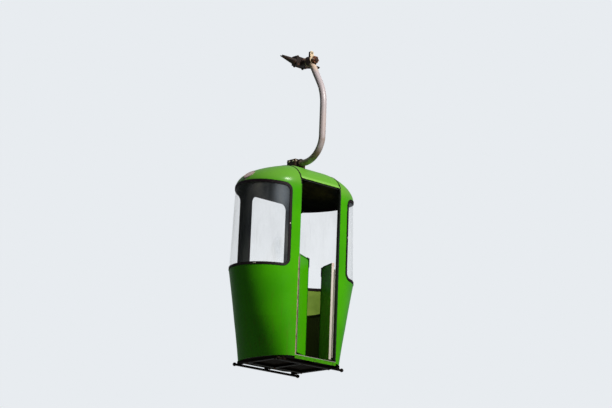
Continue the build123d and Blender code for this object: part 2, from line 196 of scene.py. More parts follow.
class Worn:
    """A finish that is there already, on another piece or on the solids as they come."""

    def __init__(self, name):
        self.material = bpy.data.materials[name]


class CabinColours(bpy.types.PropertyGroup):
    """Colours that a user may change before the finishes are made."""

    body: bpy.props.FloatVectorProperty(
        name="Body", description="Green gel coat of the cabin", subtype="COLOR", size=4,
        min=0, max=1, default=linear(74, 178, 2),
    )
    body_shade: bpy.props.FloatVectorProperty(
        name="Weathered body", description="Gel coat where it has dulled", subtype="COLOR", size=4,
        min=0, max=1, default=linear(50, 146, 2),
    )
    arm: bpy.props.FloatVectorProperty(
        name="Hanger", description="Cream paint of the bent arm", subtype="COLOR", size=4,
        min=0, max=1, default=linear(190, 179, 182),
    )
    rubber: bpy.props.FloatVectorProperty(
        name="Rubber", description="Weathered rubber round the windows", subtype="COLOR", size=4,
        min=0, max=1, default=linear(22, 11, 16),
    )


# Lengths are in metres. Heights are measured up from the sill of the doorway, apart from those
# of SILL, SHELL_FOOT and EYE, which are measured from the frame's origin on the rope.
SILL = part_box("sill_strip")[1].z
SHELL_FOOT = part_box("shell_front")[0].z

# Plan sections of the body: height, reach of its elliptical ends, half width
WALLS = ((-0.016, 0.172, 0.350), (0.330, 0.284, 0.350), (0.760, 0.405, 0.350), (1.525, 0.365, 0.349))
# Half length of the straight stretch between the ends
STRAIGHT = 0.250

# The dome: where it springs, how far it rises, how full it is, its ridge and its crown
ROOF_SPRING = 1.525
ROOF_RISE = 0.255
ROOF_FULLNESS = 2.2
ROOF_END_FULLNESS = 1.25
RIDGE_REACH = 0.120
RIDGE_STRAIGHT = 0.060
CROWN = 1.778

# Windows of the ends: edge beside the doorway, sill, head, slope of the head, corner radius
WINDOW_EDGE = 0.355
WINDOW_SILL = 0.780
WINDOW_HEAD = 1.512
WINDOW_SLOPE = radians(7)
WINDOW_CORNER = 0.062

# Window of the far side: half width, head, corner radius
SIDE_HALF = 0.224
SIDE_HEAD = 1.556
SIDE_CORNER = 0.066

# Locking strips in the gaskets, and the turn round an end at which two clips hold the lower strip
STRIP_RADIUS = 0.0022
END_STRIP_PROUD = 0.0023
SIDE_STRIP_PROUD = 0.0016
CLIP_PROUD = 0.0035
CLIP_HEIGHT = 1.16
CLIP_TURNS = (1.06, 1.10)
# Places in a strip: along a quarter of an end's window, and round one of its corners
EDGE_STEPS = 14
CORNER_STEPS = 8

# Roof strip over the doorway, its drip lips, and the rubber beads on its two joints
HEADER = 1.600
LIP_HALF_LENGTH = 0.243
LIP_HALF_WIDTH = 0.004
LIP_SUNK = 0.0005
LIP_RISE = 0.0075
SEAM_RADIUS = 0.008
SEAM_SUNK = 0.0052
SEAM_STEPS = 48

# Number discs: distance along the rope, height, lean, and the rim's radius, thickness and steps
DISC_ALONG = 0.566
DISC_HEIGHT = 1.621
DISC_LEAN = radians(40)
RIM_RADIUS = 0.0545
RIM_BEAD = 0.0022
RIM_STEPS = 40

# Leaves: hinge pins, turn at rest, top edge, outer face when closed, and the bars of the latches,
# each with its end along X and its depth; they reach in front of the face and behind it
PIVOTS = {"left": (-0.239, -0.3125), "right": (0.239, -0.3125)}
REST_TURNS = {"left": radians(25.5), "right": radians(-109)}
LEAF_TOPS = {"left": 0.913, "right": 0.902}
LEAF_FACE = -0.3405
LATCH_START = 0.006
LATCH_FRONT = 0.006
LATCH_BACK = 0.014
LATCH_BARS = ((0.056, 0.014), (0.020, 0.085))
# Worn caps of the leaves: their radius round the hinge pins, and a reach above and below the sill
# that takes in the whole cabin
CAP_RADIUS = 0.034
CAP_REACH = 9

# Hanger: middle of its eye, lean of the tube below it, distance of the weld from the eye's middle
# and radius of the welds round the tube
EYE = Vector((0, -0.146, -0.030))
ARM_LEAN = radians(29)
WELD_DROP = 0.0475
WELD_RADIUS = 0.0312
# Cotter pin through the nut: radius of its eye, steps round it and half length of its shank
PIN_EYE = 0.006
PIN_STEPS = 14
PIN_HALF = 0.034

# Underframe: bearers along the rope, places of their bolts across it, those of the rails, and how
# far the bolts of the rails are from the middle of a bearer. A drop is measured down from the sill
BEARER_X = 0.33
BEARER_BOLT_Y = (-0.18, 0.18, -0.245, 0.245)
BEARER_BOLT_DROP = 0.038
RAIL_Y = 0.287
RAIL_BOLT_X = 0.014
RAIL_BOLT_DROP = 0.046

# Places of the bolts along the rope and across it, and of the saddle's below its top
SADDLE_BOLT_X = 0.053
SADDLE_BOLT_Y = 0.024
SADDLE_BOLT_DROP = 0.017
GRIP_BOLT_X = 0.052
GRIP_BOLT_Y = 0.022
# Places of the screws along the rope and across it, or over the face of a leaf
CHANNEL_SCREW_X = 0.229
CHANNEL_SCREW_PROUD = 0.0014
HINGE_SCREW_X = 0.2464
HINGE_SCREW_Y = -0.317
APRON_SCREW_Y = -0.350
APRON_SCREW_DROP = 0.020
# Rows of screws: how many, the first one and the distance to the next
CHANNEL_ROW = (6, 0.075, 0.152)
HINGE_ROW = (7, 0.1, 0.115)
APRON_ROW = (5, -0.21, 0.105)
# Fasteners: sides, radius, height, depth of the socket, radius of the washer
CLIP = (14, 0.0058, 0.0036, 0.0012, 0)
SADDLE_BOLT = (6, 0.0085, 0.0065, 0, 0.0105)
GRIP_BOLT = (6, 0.0092, 0.0085, 0, 0.0115)
BEARER_BOLT = (6, 0.0085, 0.0070, 0, 0.0110)
RAIL_BOLT = (6, 0.0050, 0.0045, 0, 0)
CHANNEL_SCREW = (10, 0.0032, 0.0014, 0.0006, 0)
HINGE_SCREW = (10, 0.0026, 0.0012, 0.0005, 0)
APRON_SCREW = (12, 0.0042, 0.0020, 0.0008, 0)

# Treads of the sill: half length, how many, first edge, distance, width and height
TREAD_HALF = 0.236
TREADS = 4
TREAD_START = -0.347
TREAD_PITCH = 0.0062
TREAD_WIDTH = 0.0028
TREAD_HEIGHT = 0.0014

# Floor mat: side of its square, how many ribs and grooves, height of the ribs, thickness
MAT_SIDE = 0.60
MAT_RIBS = 48
MAT_RELIEF = 0.0025
MAT_THICKNESS = 0.0008

# Seats: half width and depth of the dish, and the place, middle height, half length, radius and
# steps to one end of its rolled edge
SEAT_HALF = 0.350
SEAT_DIP = 0.044
SEAT_EDGE_X = 0.3115
SEAT_EDGE_HEIGHT = 0.474
SEAT_EDGE_HALF = 0.333
SEAT_EDGE_RADIUS = 0.0062
SEAT_EDGE_STEPS = 20


def colours():
    """The colours that the panel shows."""
    return bpy.context.scene.cabin_colours


def plan_at(height):
    """Straight half length, end reach and half width of the body at a height over the sill."""
    if height >= ROOF_SPRING:
        lift = ((height - ROOF_SPRING) / ROOF_RISE) ** (ROOF_FULLNESS / 2)
        flat = sqrt(1 - lift * lift)
        across = flat ** (2 / ROOF_FULLNESS)
        along = flat ** (2 / ROOF_END_FULLNESS)
        straight = RIDGE_STRAIGHT + (STRAIGHT - RIDGE_STRAIGHT) * across
        reach = RIDGE_REACH + (STRAIGHT + WALLS[-1][1] - RIDGE_REACH) * along
        return straight, reach - straight, WALLS[-1][2] * across
    for (low, low_reach, low_half), (high, high_reach, high_half) in zip(WALLS, WALLS[1:]):
        if height <= high:
            share = (height - low) / (high - low)
            reach = low_reach + (high_reach - low_reach) * share
            return STRAIGHT, reach, low_half + (high_half - low_half) * share


def on_skin(turn, height, proud):
    """Place and outward direction on an end of the body.

    The turn goes from the side, 0, to the tip, a quarter turn.
    """
    straight, reach, half = plan_at(height)
    outward = Vector((sin(turn) / reach, -cos(turn) / half, 0)).normalized()
    place = Vector((straight + reach * sin(turn), -half * cos(turn), SILL + height))
    return place + outward * proud, outward


def roof_height(along, across):
    """Height of the dome over the sill at a distance along the rope and across it."""
    low, high = ROOF_SPRING, CROWN
    for _ in range(30):
        height = (low + high) / 2
        straight, reach, half = plan_at(height)
        over = max(abs(along) - straight, 0) / reach
        if over ** 2 + (across / half) ** 2 < 1:
            low = height
        else:
            high = height
    return low


def snug(spot, facing, proud):
    """Moves a spot along a direction until it stands a little proud of the roof."""
    for _ in range(30):
        straight, reach, half = plan_at(min(spot.z - SILL, CROWN - 0.001))
        over = max(abs(spot.x) - straight, 0) / reach
        off = sqrt(over ** 2 + (spot.y / half) ** 2) - 1
        spot = spot - facing * off * 0.15
    return spot + facing * proud


def turn_at(along, height):
    """How far round the end of the body a distance along the rope is."""
    straight, reach, _ = plan_at(height)
    return asin((along - straight) / reach)


def leaf_place(leaf):
    """Matrix that takes a closed leaf to the way it stands at rest."""
    pin = Matrix.Translation((*PIVOTS[leaf], 0))
    return pin @ Matrix.Rotation(REST_TURNS[leaf], 4, "Z") @ pin.inverted()


def wear_the(names, finish):
    """Gives CAD nodes one finish."""
    for name in names:
        mesh = NODES[name].data
        mesh.materials.clear()
        mesh.materials.append(finish.material)


def inward(finish):
    """1 on faces that look into the cabin, 0 on its outside."""
    normal = finish.add("ShaderNodeNewGeometry", {}, {}).outputs["Normal"]
    inputs = {0: finish.place, 1: (0, 0, SILL + 0.9)}
    middle = finish.add("ShaderNodeVectorMath", {"operation": "SUBTRACT"}, inputs).outputs[0]
    inputs = {0: normal, 1: middle}
    facing = finish.add("ShaderNodeVectorMath", {"operation": "DOT_PRODUCT"}, inputs)
    return 1 - Value(finish.tree, facing.outputs["Value"]).smooth(-0.02, 0.02)


def gel_coat(name="gel_coat", lined=True):
    """Green gel coat, dulled, streaked and mossy towards the foot, and paler on the roof with painted sky
    light.

    Lined laminate is bare and dull on its inside, with painted light and shade there. Unlined laminate is
    that of the doorway.
    """
    gel = Finish(name, Specular_IOR_Level=0.1, Coat_Roughness=0.14)
    fade = gel.noise(2.3, 5).smooth(0.35, 0.72)
    base = gel.blend(fade * 0.5, tuple(colours().body), tuple(colours().body_shade))
    # Painted sky light: the roof is paler and yellower, as where the sun and sky fall on it
    painted_roof_light = gel.z.smooth(SILL + 1.47, SILL + HEADER)
    base = gel.blend(painted_roof_light * 0.7, base, linear(111, 164, 63))
    streaks = gel.noise(7, 6, 0.6, stretch=(6, 6, 0.35)).smooth(0.52, 0.74)
    low = 1 - gel.z.smooth(SHELL_FOOT + 0.05, SHELL_FOOT + 0.75)
    base = gel.blend(streaks * (low * 0.45 + 0.1), base, linear(96, 128, 34))
    blotch = gel.noise(9, 6, 0.65).smooth(0.6, 0.74) * low
    base = gel.blend(blotch * 0.45, base, linear(112, 84, 40))
    speck = 1 - gel.cells(90).smooth(0.04, 0.12)
    base = gel.blend(speck * gel.noise(4).smooth(0.55, 0.7) * 0.5, base, linear(70, 72, 34))
    # A grey run of dirt under each number disc
    run = (1 - abs(gel.y).smooth(0.004, 0.013)) * gel.z.smooth(SILL + 1.545, SILL + 1.56)
    run = run * (1 - gel.z.smooth(SILL + HEADER, SILL + HEADER + 0.02))
    base = gel.blend(run * 0.75, base, linear(176, 160, 152))
    # A soft pale crease on the roof's edge over the doorway
    lip = gel.z.smooth(SILL + HEADER - 0.002, SILL + HEADER + 0.006)
    lip = lip * (1 - gel.z.smooth(SILL + HEADER + 0.012, SILL + HEADER + 0.035))
    lip = lip * (1 - abs(gel.x).smooth(STRAIGHT - 0.004, STRAIGHT))
    base = gel.blend(lip * 0.35, base, linear(168, 220, 120))
    if not lined:
        # Dirt on the sill apron, and bare metal caps over the hinged edges of the leaves
        apron = 1 - gel.z.smooth(SILL - 0.004, SILL)
        smear = gel.noise(26, 5, 0.6, stretch=(1, 1, 2)).smooth(0.38, 0.66)
        base = gel.blend(apron * (smear * 0.5 + 0.12), base, linear(64, 78, 20))
        hem = 1 - gel.z.smooth(SILL - 0.041, SILL - 0.033)
        base = gel.blend(hem * 0.8, base, linear(88, 62, 34))
        size = (CAP_RADIUS, CAP_RADIUS, CAP_REACH)
        left, right = (gel.patch((*PIVOTS[leaf], SILL), size) for leaf in PIVOTS)
        caps = (left + right).smooth(0.05, 0.1) * gel.z.smooth(SILL + 0.85, SILL + 0.855)
        base = gel.blend(caps, base, linear(226, 204, 192))
    # Painted light and shade inside: yellow-green sunlight shining through the laminate below the windows,
    # painted shade near black above them, and a painted patch of light on the ceiling
    wall = gel.noise(5, 5, 0.6).smooth(0.3, 0.75)
    inside_light_and_shade = gel.blend(wall * 0.6, linear(132, 162, 66), linear(84, 114, 36))
    inside_light_and_shade = gel.blend(gel.z.smooth(SILL + 0.76, SILL + 0.84), inside_light_and_shade, linear(24, 28, 20))
    ceiling = gel.z.smooth(SILL + HEADER, SILL + 1.66)
    inside_light_and_shade = gel.blend(ceiling * wall, inside_light_and_shade, linear(86, 78, 44))
    inside = inward(gel) if lined else 0.0
    gel.colour(gel.blend(inside, base, inside_light_and_shade))
    mottle = gel.noise(11, 5).smooth(0.2, 0.9)
    gel.vary("Roughness", mottle * 0.16 + 0.24 + low * 0.12 + inside * 0.35)
    gel.vary("Coat Weight", (0.09 - streaks * 0.06) * (1 - inside))
    grain = gel.noise(160, 2) * 0.06 + inside * gel.noise(120, 4) * 0.5
    gel.bump(gel.noise(3.2, 2) * 3 + grain, 0.25, 0.0025)
    return gel


def acrylic():
    """Clear acrylic with dust, water runs, a cloudy patch and a painted soft reflection high up."""
    sheet = Finish("acrylic", IOR=1.49, Specular_IOR_Level=0.6)
    sheet.material.blend_method = "BLEND"
    dust = sheet.noise(6, 6, 0.6, stretch=(1, 1, 0.4)).smooth(0.35, 0.8)
    runs = sheet.noise(16, 4, 0.6, stretch=(4, 4, 0.15)).smooth(0.55, 0.8)
    facing = sheet.add("ShaderNodeLayerWeight", {}, {"Blend": 0.32}).outputs["Facing"]
    low_cloud = sheet.patch((-0.458, -0.299, SILL + 0.93), (0.07, 0.07, 0.17))
    # Painted reflection: a soft bright streak high on the pane of the front end
    painted_reflection = sheet.patch((-0.435, -0.302, SILL + 1.42), (0.11, 0.11, 0.24))
    haze_and_reflection = dust * 0.05 + runs * 0.04 + Value(sheet.tree, facing) * 0.1 + 0.015
    haze_and_reflection = haze_and_reflection + low_cloud * (dust * 0.3 + 0.12) + painted_reflection * 0.11
    sheet.colour(sheet.blend(dust, linear(206, 220, 236), linear(232, 232, 226)))
    sheet.vary("Alpha", haze_and_reflection)
    sheet.vary("Roughness", dust * 0.12 + 0.08)
    return sheet


def gasket_rubber():
    """Dark rubber with a plum tinge, bleached in patches."""
    rubber = Finish("gasket_rubber", Specular_IOR_Level=0.14)
    bleach = rubber.noise(14, 5).smooth(0.4, 0.8)
    rubber.colour(rubber.blend(bleach * 0.3, tuple(colours().rubber), linear(50, 36, 42)))
    rubber.vary("Roughness", bleach * 0.2 + 0.5)
    rubber.bump(rubber.noise(220, 3), 0.15, 0.0006)
    return rubber


def arm_paint():
    """Cream paint gone pinkish, yellower near the eye, with dirt and moss on the lower bend."""
    paint = Finish("arm_paint", Specular_IOR_Level=0.45, Coat_Roughness=0.25)
    grime = paint.noise(6, 5, 0.55, stretch=(1, 1, 0.4)).smooth(0.48, 0.8)
    base = paint.blend(grime * 0.4, tuple(colours().arm), linear(196, 170, 152))
    low = 1 - paint.z.smooth(-0.95, -0.66)
    moss = paint.noise(13, 5).smooth(0.3, 0.65) * low
    base = paint.blend(moss * 0.8, base, linear(126, 98, 58))
    top = paint.z.smooth(EYE.z - 0.15, EYE.z - 0.05)
    base = paint.blend(top * 0.6, base, linear(228, 196, 158))
    chips = paint.noise(38, 5, 0.6).smooth(0.71, 0.74)
    paint.colour(paint.blend(chips, base, linear(92, 54, 34)))
    paint.vary("Roughness", grime * 0.25 + 0.34)
    paint.bump(paint.noise(120, 3) * 0.3 + chips * -1, 0.15, 0.0006)
    return paint


def rusty_steel(name, clean, rust, amount, gloss=0.4):
    """Steel of one colour, with fine dark stains and patches of rust."""
    steel = Finish(name, Specular_IOR_Level=gloss)
    patches = steel.noise(22, 7, 0.65).smooth(0.62 - amount * 0.3, 0.78 - amount * 0.3)
    fine = steel.noise(140, 4).smooth(0.3, 0.7)
    base = steel.blend(patches, clean, rust)
    steel.colour(steel.blend(fine * 0.35, base, linear(34, 24, 18)))
    steel.vary("Roughness", patches * 0.3 + 0.5)
    steel.vary("Metallic", (1 - patches) * 0.35)
    steel.bump(patches * 0.8 + fine * 0.4, 0.5, 0.0008)
    return steel


def eye_steel():
    """Dark rusty eye, with old cream paint left on its end rims, and painted light on one face of its lug,
    cream where the sun falls on it.
    """
    steel = Finish("eye_steel", Specular_IOR_Level=0.35)
    low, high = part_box("hanger_eye")
    flakes = steel.noise(30, 5, 0.6).smooth(0.3, 0.5)
    middle = (low.y + high.y) / 2
    half = high.y - middle
    rims = abs(steel.y - middle).smooth(half - 0.007, half - 0.002)
    # Painted light: cream on the lug's face towards the sun, its other faces left dark
    lug = steel.z.smooth(EYE.z + 0.038, EYE.z + 0.042) * (1 - abs(steel.x).smooth(0.02, 0.03))
    lug = lug * (1 - steel.y.smooth(EYE.y - 0.0105, EYE.y - 0.0095))
    cream = rims.math("MAXIMUM", lug) * (flakes * 0.4 + 0.6)
    bare = steel.noise(16, 5).smooth(0.4, 0.7)
    body = steel.blend(bare, linear(52, 40, 38), linear(86, 60, 50))
    steel.colour(steel.blend(cream, body, linear(214, 192, 160)))
    steel.vary("Roughness", flakes * 0.2 + 0.42)
    steel.bump(flakes, 0.3, 0.0006)
    return steel


def plain_laminate(name, base, worn, roughness, gloss=0.45):
    """Moulded laminate, rubber or paint with scuffs."""
    laminate = Finish(name, Specular_IOR_Level=gloss)
    scuff = laminate.noise(12, 6, 0.6).smooth(0.5, 0.78)
    laminate.colour(laminate.blend(scuff * 0.6, base, worn))
    laminate.vary("Roughness", scuff * 0.2 + roughness)
    laminate.bump(laminate.noise(90, 4), 0.2, 0.0006)
    return laminate


def worn_post():
    """Dark post whose outer face is bare beside the leaf and overpainted above it."""
    post = Finish("worn_post", Specular_IOR_Level=0.2)
    scuff = post.noise(12, 6, 0.6).smooth(0.5, 0.78)
    base = post.blend(scuff * 0.6, linear(22, 30, 16), linear(50, 56, 40))
    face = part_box("door_post_front")[0].y
    outer = 1 - post.y.smooth(face + 0.0005, face + 0.0015)
    patches = post.noise(20, 5).smooth(0.4, 0.7)
    grey = post.blend(patches, linear(176, 158, 136), linear(120, 92, 70))
    outside = post.blend(post.z.smooth(SILL + 0.84, SILL + 0.9), grey, linear(70, 168, 10))
    post.colour(post.blend(outer, base, outside))
    post.vary("Roughness", scuff * 0.2 + 0.45)
    post.bump(post.noise(90, 4), 0.2, 0.0006)
    return post


def locking_strip():
    """Dark strip, a little shinier than the gasket that it locks."""
    strip = Finish("locking_strip", Specular_IOR_Level=0.2)
    dull = strip.noise(30, 4).smooth(0.35, 0.75)
    strip.colour(strip.blend(dull, linear(30, 15, 22), linear(50, 34, 40)))
    strip.vary("Roughness", dull * 0.2 + 0.36)
    return strip


def lip_laminate():
    """Pale green laminate of the drip lips, paler in patches."""
    finish = Finish("lip_laminate", Specular_IOR_Level=0.5)
    worn = finish.noise(18, 5).smooth(0.4, 0.75)
    finish.colour(finish.blend(worn, linear(132, 206, 66), linear(176, 222, 128)))
    finish.vary("Roughness", worn * 0.2 + 0.3)
    return finish


def deselect():
    """Leaves edit mode and selects nothing."""
    if bpy.context.object and bpy.context.object.mode != "OBJECT":
        bpy.ops.object.mode_set(mode="OBJECT")
    bpy.ops.object.select_all(action="DESELECT")


def pick(pieces):
    """Selects only these objects, with the first one active."""
    deselect()
    for piece in pieces:
        piece.select_set(True)
    bpy.context.view_layer.objects.active = pieces[0]


def settle(pieces, name, body, finish, smooth=35):
    """Joins objects into one finished piece that sits at the origin and rides on a body."""
    pick(pieces)
    if len(pieces) > 1:
        bpy.ops.object.join()
    piece = bpy.context.active_object
    bpy.ops.object.transform_apply(location=True, rotation=True, scale=True)
    bpy.ops.object.shade_smooth_by_angle(angle=radians(smooth))
    piece.name = name
    piece.data.name = name
    piece.data.materials.clear()
    piece.data.materials.append(finish.material)
    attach(piece, body)
    return piece


def choose(mesh, wanted):
    """Selects the faces of an edit mesh that pass a test."""
    for face in mesh.faces:
        face.select_set(wanted(face))
    mesh.select_flush(True)


def plug(sides, radius, height, chamfer, segments):
    """A cylinder that stands on the origin with a chamfered top, left in edit mode."""
    deselect()
    bpy.ops.mesh.primitive_cylinder_add(
        vertices=sides, radius=radius, depth=height, location=(0, 0, height / 2)
    )
    piece = bpy.context.active_object
    bpy.ops.object.mode_set(mode="EDIT")
    choose(bmesh.from_edit_mesh(piece.data), lambda face: face.normal.z > 0.9)
    bpy.ops.mesh.bevel(offset=chamfer, segments=segments, affect="EDGES")
    return piece


def bolt_master(sides, radius, height, socket, washer):
    """A chamfered head on the origin, with a socket and a washer unless their sizes are 0."""
    head = plug(sides, radius, height, height * 0.28, 2)
    top = height * 0.45
    mesh = bmesh.from_edit_mesh(head.data)
    choose(mesh, lambda face: face.normal.z > 0.99 and face.calc_center_median().z > top)
    bpy.ops.mesh.inset(thickness=radius * 0.28)
    if socket:
        bpy.ops.mesh.extrude_region_move(TRANSFORM_OT_translate={"value": (0, 0, -socket)})
    deselect()
    if washer:
        ring = plug(20, washer, height * 0.22, height * 0.06, 1)
        pick([head, ring])
        bpy.ops.object.join()
    pick([head])
    bpy.ops.object.transform_apply(location=True, rotation=True, scale=True)
    return head


def stand(place, direction):
    """Matrix that takes the origin to a place and the Z axis to a direction."""
    turn = Vector(direction).to_track_quat("Z", "Y").to_matrix().to_4x4()
    return Matrix.Translation(place) @ turn


def spread(master, spots, name, body, finish):
    """Copies a finished shape to each place and direction and joins the copies."""
    copies = []
    for place, direction in spots:
        copy = master.copy()
        copy.data = master.data.copy()
        bpy.context.scene.collection.objects.link(copy)
        copy.matrix_world = stand(place, direction)
        copies.append(copy)
    bpy.data.objects.remove(master)
    bpy.context.view_layer.update()
    return settle(copies, name, body, finish)


def slab(start, end, edge, place=None):
    """A bar between two corners with rounded edges, moved by a matrix if one is given."""
    low, high = (Vector(corner) for corner in zip(*map(sorted, zip(start, end))))
    deselect()
    bpy.ops.mesh.primitive_cube_add(size=1, location=(low + high) / 2)
    bar = bpy.context.active_object
    bar.scale = high - low
    bpy.ops.object.transform_apply(location=True, rotation=True, scale=True)
    bpy.ops.object.mode_set(mode="EDIT")
    bpy.ops.mesh.select_all(action="SELECT")
    bpy.ops.mesh.bevel(offset=edge, segments=2, affect="EDGES")
    bpy.ops.object.mode_set(mode="OBJECT")
    if place is not None:
        bar.matrix_world = place
    return bar


def bead(points, radius, closed=False, sides=3):
    """A round bead that follows a line of places."""
    curve = bpy.data.curves.new("bead", "CURVE")
    curve.dimensions = "3D"
    curve.bevel_depth = radius
    curve.bevel_resolution = sides
    curve.use_fill_caps = not closed
    line = curve.splines.new("POLY")
    line.points.add(len(points) - 1)
    for point, place in zip(line.points, points):
        point.co = (*place, 1)
    line.use_cyclic_u = closed
    piece = bpy.data.objects.new("bead", curve)
    bpy.context.scene.collection.objects.link(piece)
    pick([piece])
    bpy.ops.object.convert(target="MESH")
    return bpy.context.active_object


def weld_ring(place, direction, thickness, ripples):
    """A rippled weld bead round the hanger's tube."""
    deselect()
    bpy.ops.mesh.primitive_torus_add(
        major_radius=WELD_RADIUS, minor_radius=thickness, major_segments=ripples * 4, minor_segments=8
    )
    ring = bpy.context.active_object
    for vertex in ring.data.vertices:
        wave = sin(vertex.co.xy.angle_signed(Vector((1, 0)), 0) * ripples)
        vertex.co.xy *= 1 + 0.05 * wave
        vertex.co.z *= 1 + 0.3 * wave
    ring.matrix_world = stand(place, direction)
    return ring


def window_ring(side):
    """Places round the window of one end, a little proud of the skin."""
    quarter = []
    start = turn_at(WINDOW_EDGE + WINDOW_CORNER, WINDOW_SILL)
    for step in range(EDGE_STEPS + 1):
        turn = pi / 2 + (start - pi / 2) * step / EDGE_STEPS
        quarter.append(on_skin(turn, WINDOW_SILL, END_STRIP_PROUD)[0])
    # Centre and swing of each place round the lower and the upper corner
    low = WINDOW_SILL + WINDOW_CORNER
    high = WINDOW_HEAD + tan(WINDOW_SLOPE) * WINDOW_CORNER - WINDOW_CORNER / cos(WINDOW_SLOPE)
    steps = range(CORNER_STEPS + 1)
    corners = [(low, -pi / 2 + pi / 2 * step / CORNER_STEPS) for step in steps[1:]]
    corners += [(high, (pi / 2 - WINDOW_SLOPE) * step / CORNER_STEPS) for step in steps]
    for centre, swing in corners:
        height = centre + WINDOW_CORNER * sin(swing)
        along = WINDOW_EDGE + WINDOW_CORNER - WINDOW_CORNER * cos(swing)
        quarter.append(on_skin(turn_at(along, height), height, END_STRIP_PROUD)[0])
    first = turn_at(along, height)
    for step in range(1, EDGE_STEPS + 1):
        turn = first + (pi / 2 - first) * step / EDGE_STEPS
        # The head slopes with the distance along the rope, which depends on the height in turn
        for _ in range(3):
            straight, reach, _half = plan_at(height)
            height = WINDOW_HEAD + tan(WINDOW_SLOPE) * (straight + reach * sin(turn) - WINDOW_EDGE)
        quarter.append(on_skin(turn, height, END_STRIP_PROUD)[0])
    ring = quarter + [place * Vector((1, -1, 1)) for place in reversed(quarter[1:-1])]
    return [place * Vector((side, 1, 1)) for place in ring]


def side_ring():
    """Places round the window of the far side, a little proud of the wall."""
    x, low, high = SIDE_HALF - SIDE_CORNER, WINDOW_SILL + SIDE_CORNER, SIDE_HEAD - SIDE_CORNER
    ring = []
    for along, centre, begin in ((x, high, 0), (-x, high, 90), (-x, low, 180), (x, low, 270)):
        for step in range(CORNER_STEPS + 1):
            swing = radians(begin + 90 * step / CORNER_STEPS)
            height = centre + SIDE_CORNER * sin(swing)
            across = plan_at(height)[2] + SIDE_STRIP_PROUD
            ring.append((along + SIDE_CORNER * cos(swing), across, SILL + height))
    return ring


def seen_rays(tree):
    """1 for rays that see the backdrop, less for those that mirror it, 0 for its light."""
    rays = tree.nodes.new("ShaderNodeLightPath").outputs
    seen = Value(tree, rays["Is Camera Ray"])
    for kind, share in (("Is Glossy Ray", GLOSSY_SHARE), ("Is Transmission Ray", 1)):
        seen = seen.math("MAXIMUM", Value(tree, rays[kind]) * share)
    return seen


def place_camera(scene):
    """Sets up the camera from its heading, pitch and roll."""
    heading, pitch, roll = (radians(a) for a in (CAMERA_HEADING, CAMERA_PITCH, CAMERA_ROLL))
    forward = Vector((sin(heading) * cos(pitch), cos(heading) * cos(pitch), sin(pitch)))
    level = Vector((cos(heading), -sin(heading), 0))
    above = level.cross(forward)
    right = level * cos(roll) + above * sin(roll)
    top = above * cos(roll) - level * sin(roll)
    turn = Matrix((right, top, -forward)).transposed()
    camera = bpy.data.objects.new("camera", bpy.data.cameras.new("camera"))
    scene.collection.objects.link(camera)
    camera.data.lens = CAMERA_LENS
    camera.data.clip_end = 400
    camera.matrix_world = Matrix.Translation(CAMERA_PLACE) @ turn.to_4x4()
    scene.camera = camera


def lay_floor():
    """A floor that looks pale, but sends up no more light than the slopes under a cableway."""
    pale = Finish("stage_pale", Specular_IOR_Level=0.1, Roughness=0.9, Emission_Strength=1.0)
    seen = seen_rays(pale.tree)
    pale.colour(pale.blend(seen, linear(92, 98, 84), linear(118, 120, 122)))
    pale.colour(pale.blend(seen, (0, 0, 0, 1), linear(210, 214, 218)), "Emission Color")
    deselect()
    bpy.ops.mesh.primitive_plane_add(size=160, location=(0, 0, FLOOR_HEIGHT))
    floor = bpy.context.active_object
    floor.name = "stage_floor"
    floor.data.materials.append(pale.material)


def light_sky(scene):
    """A backdrop that looks pale, but lights the cabin as a dimmer sky."""
    world = scene.world or bpy.data.worlds.new("sky")
    scene.world = world
    world.use_nodes = True
    nodes, links = world.node_tree.nodes, world.node_tree.links
    lit = nodes["Background"]
    lit.inputs["Color"].default_value = linear(222, 230, 240)
    lit.inputs["Strength"].default_value = SKY_LIGHT
    seen = nodes.new("ShaderNodeBackground")
    seen.inputs["Color"].default_value = linear(232, 236, 240)
    seen.inputs["Strength"].default_value = 1.0
    mix = nodes.new("ShaderNodeMixShader")
    links.new(seen_rays(world.node_tree).socket, mix.inputs["Fac"])
    links.new(lit.outputs[0], mix.inputs[1])
    links.new(seen.outputs[0], mix.inputs[2])
    links.new(mix.outputs[0], nodes["World Output"].inputs["Surface"])


def hang_lamps(scene):
    """Round lamps, of which only the key lamp is mirrored in the gloss."""
    for name, place, size, power, tint in LAMPS:
        lamp = bpy.data.lights.new(name, "AREA")
        lamp.shape = "DISK"
        lamp.size = size
        lamp.energy = power
        lamp.color = tint
        holder = bpy.data.objects.new(name, lamp)
        scene.collection.objects.link(holder)
        aim = (LAMP_AIM - Vector(place)).to_track_quat("-Z", "Y")
        holder.matrix_world = Matrix.Translation(place) @ aim.to_matrix().to_4x4()
        holder.visible_glossy = name == "key"


class CABIN_OT_stage(bpy.types.Operator):
    """Camera, floor, backdrop and lamps"""

    bl_idname = "cabin.stage"
    bl_label = "Stage"

    def execute(self, context):
        place_camera(context.scene)
        lay_floor()
        light_sky(context.scene)
        context.scene.view_settings.view_transform = "Standard"
        hang_lamps(context.scene)
        return {"FINISHED"}


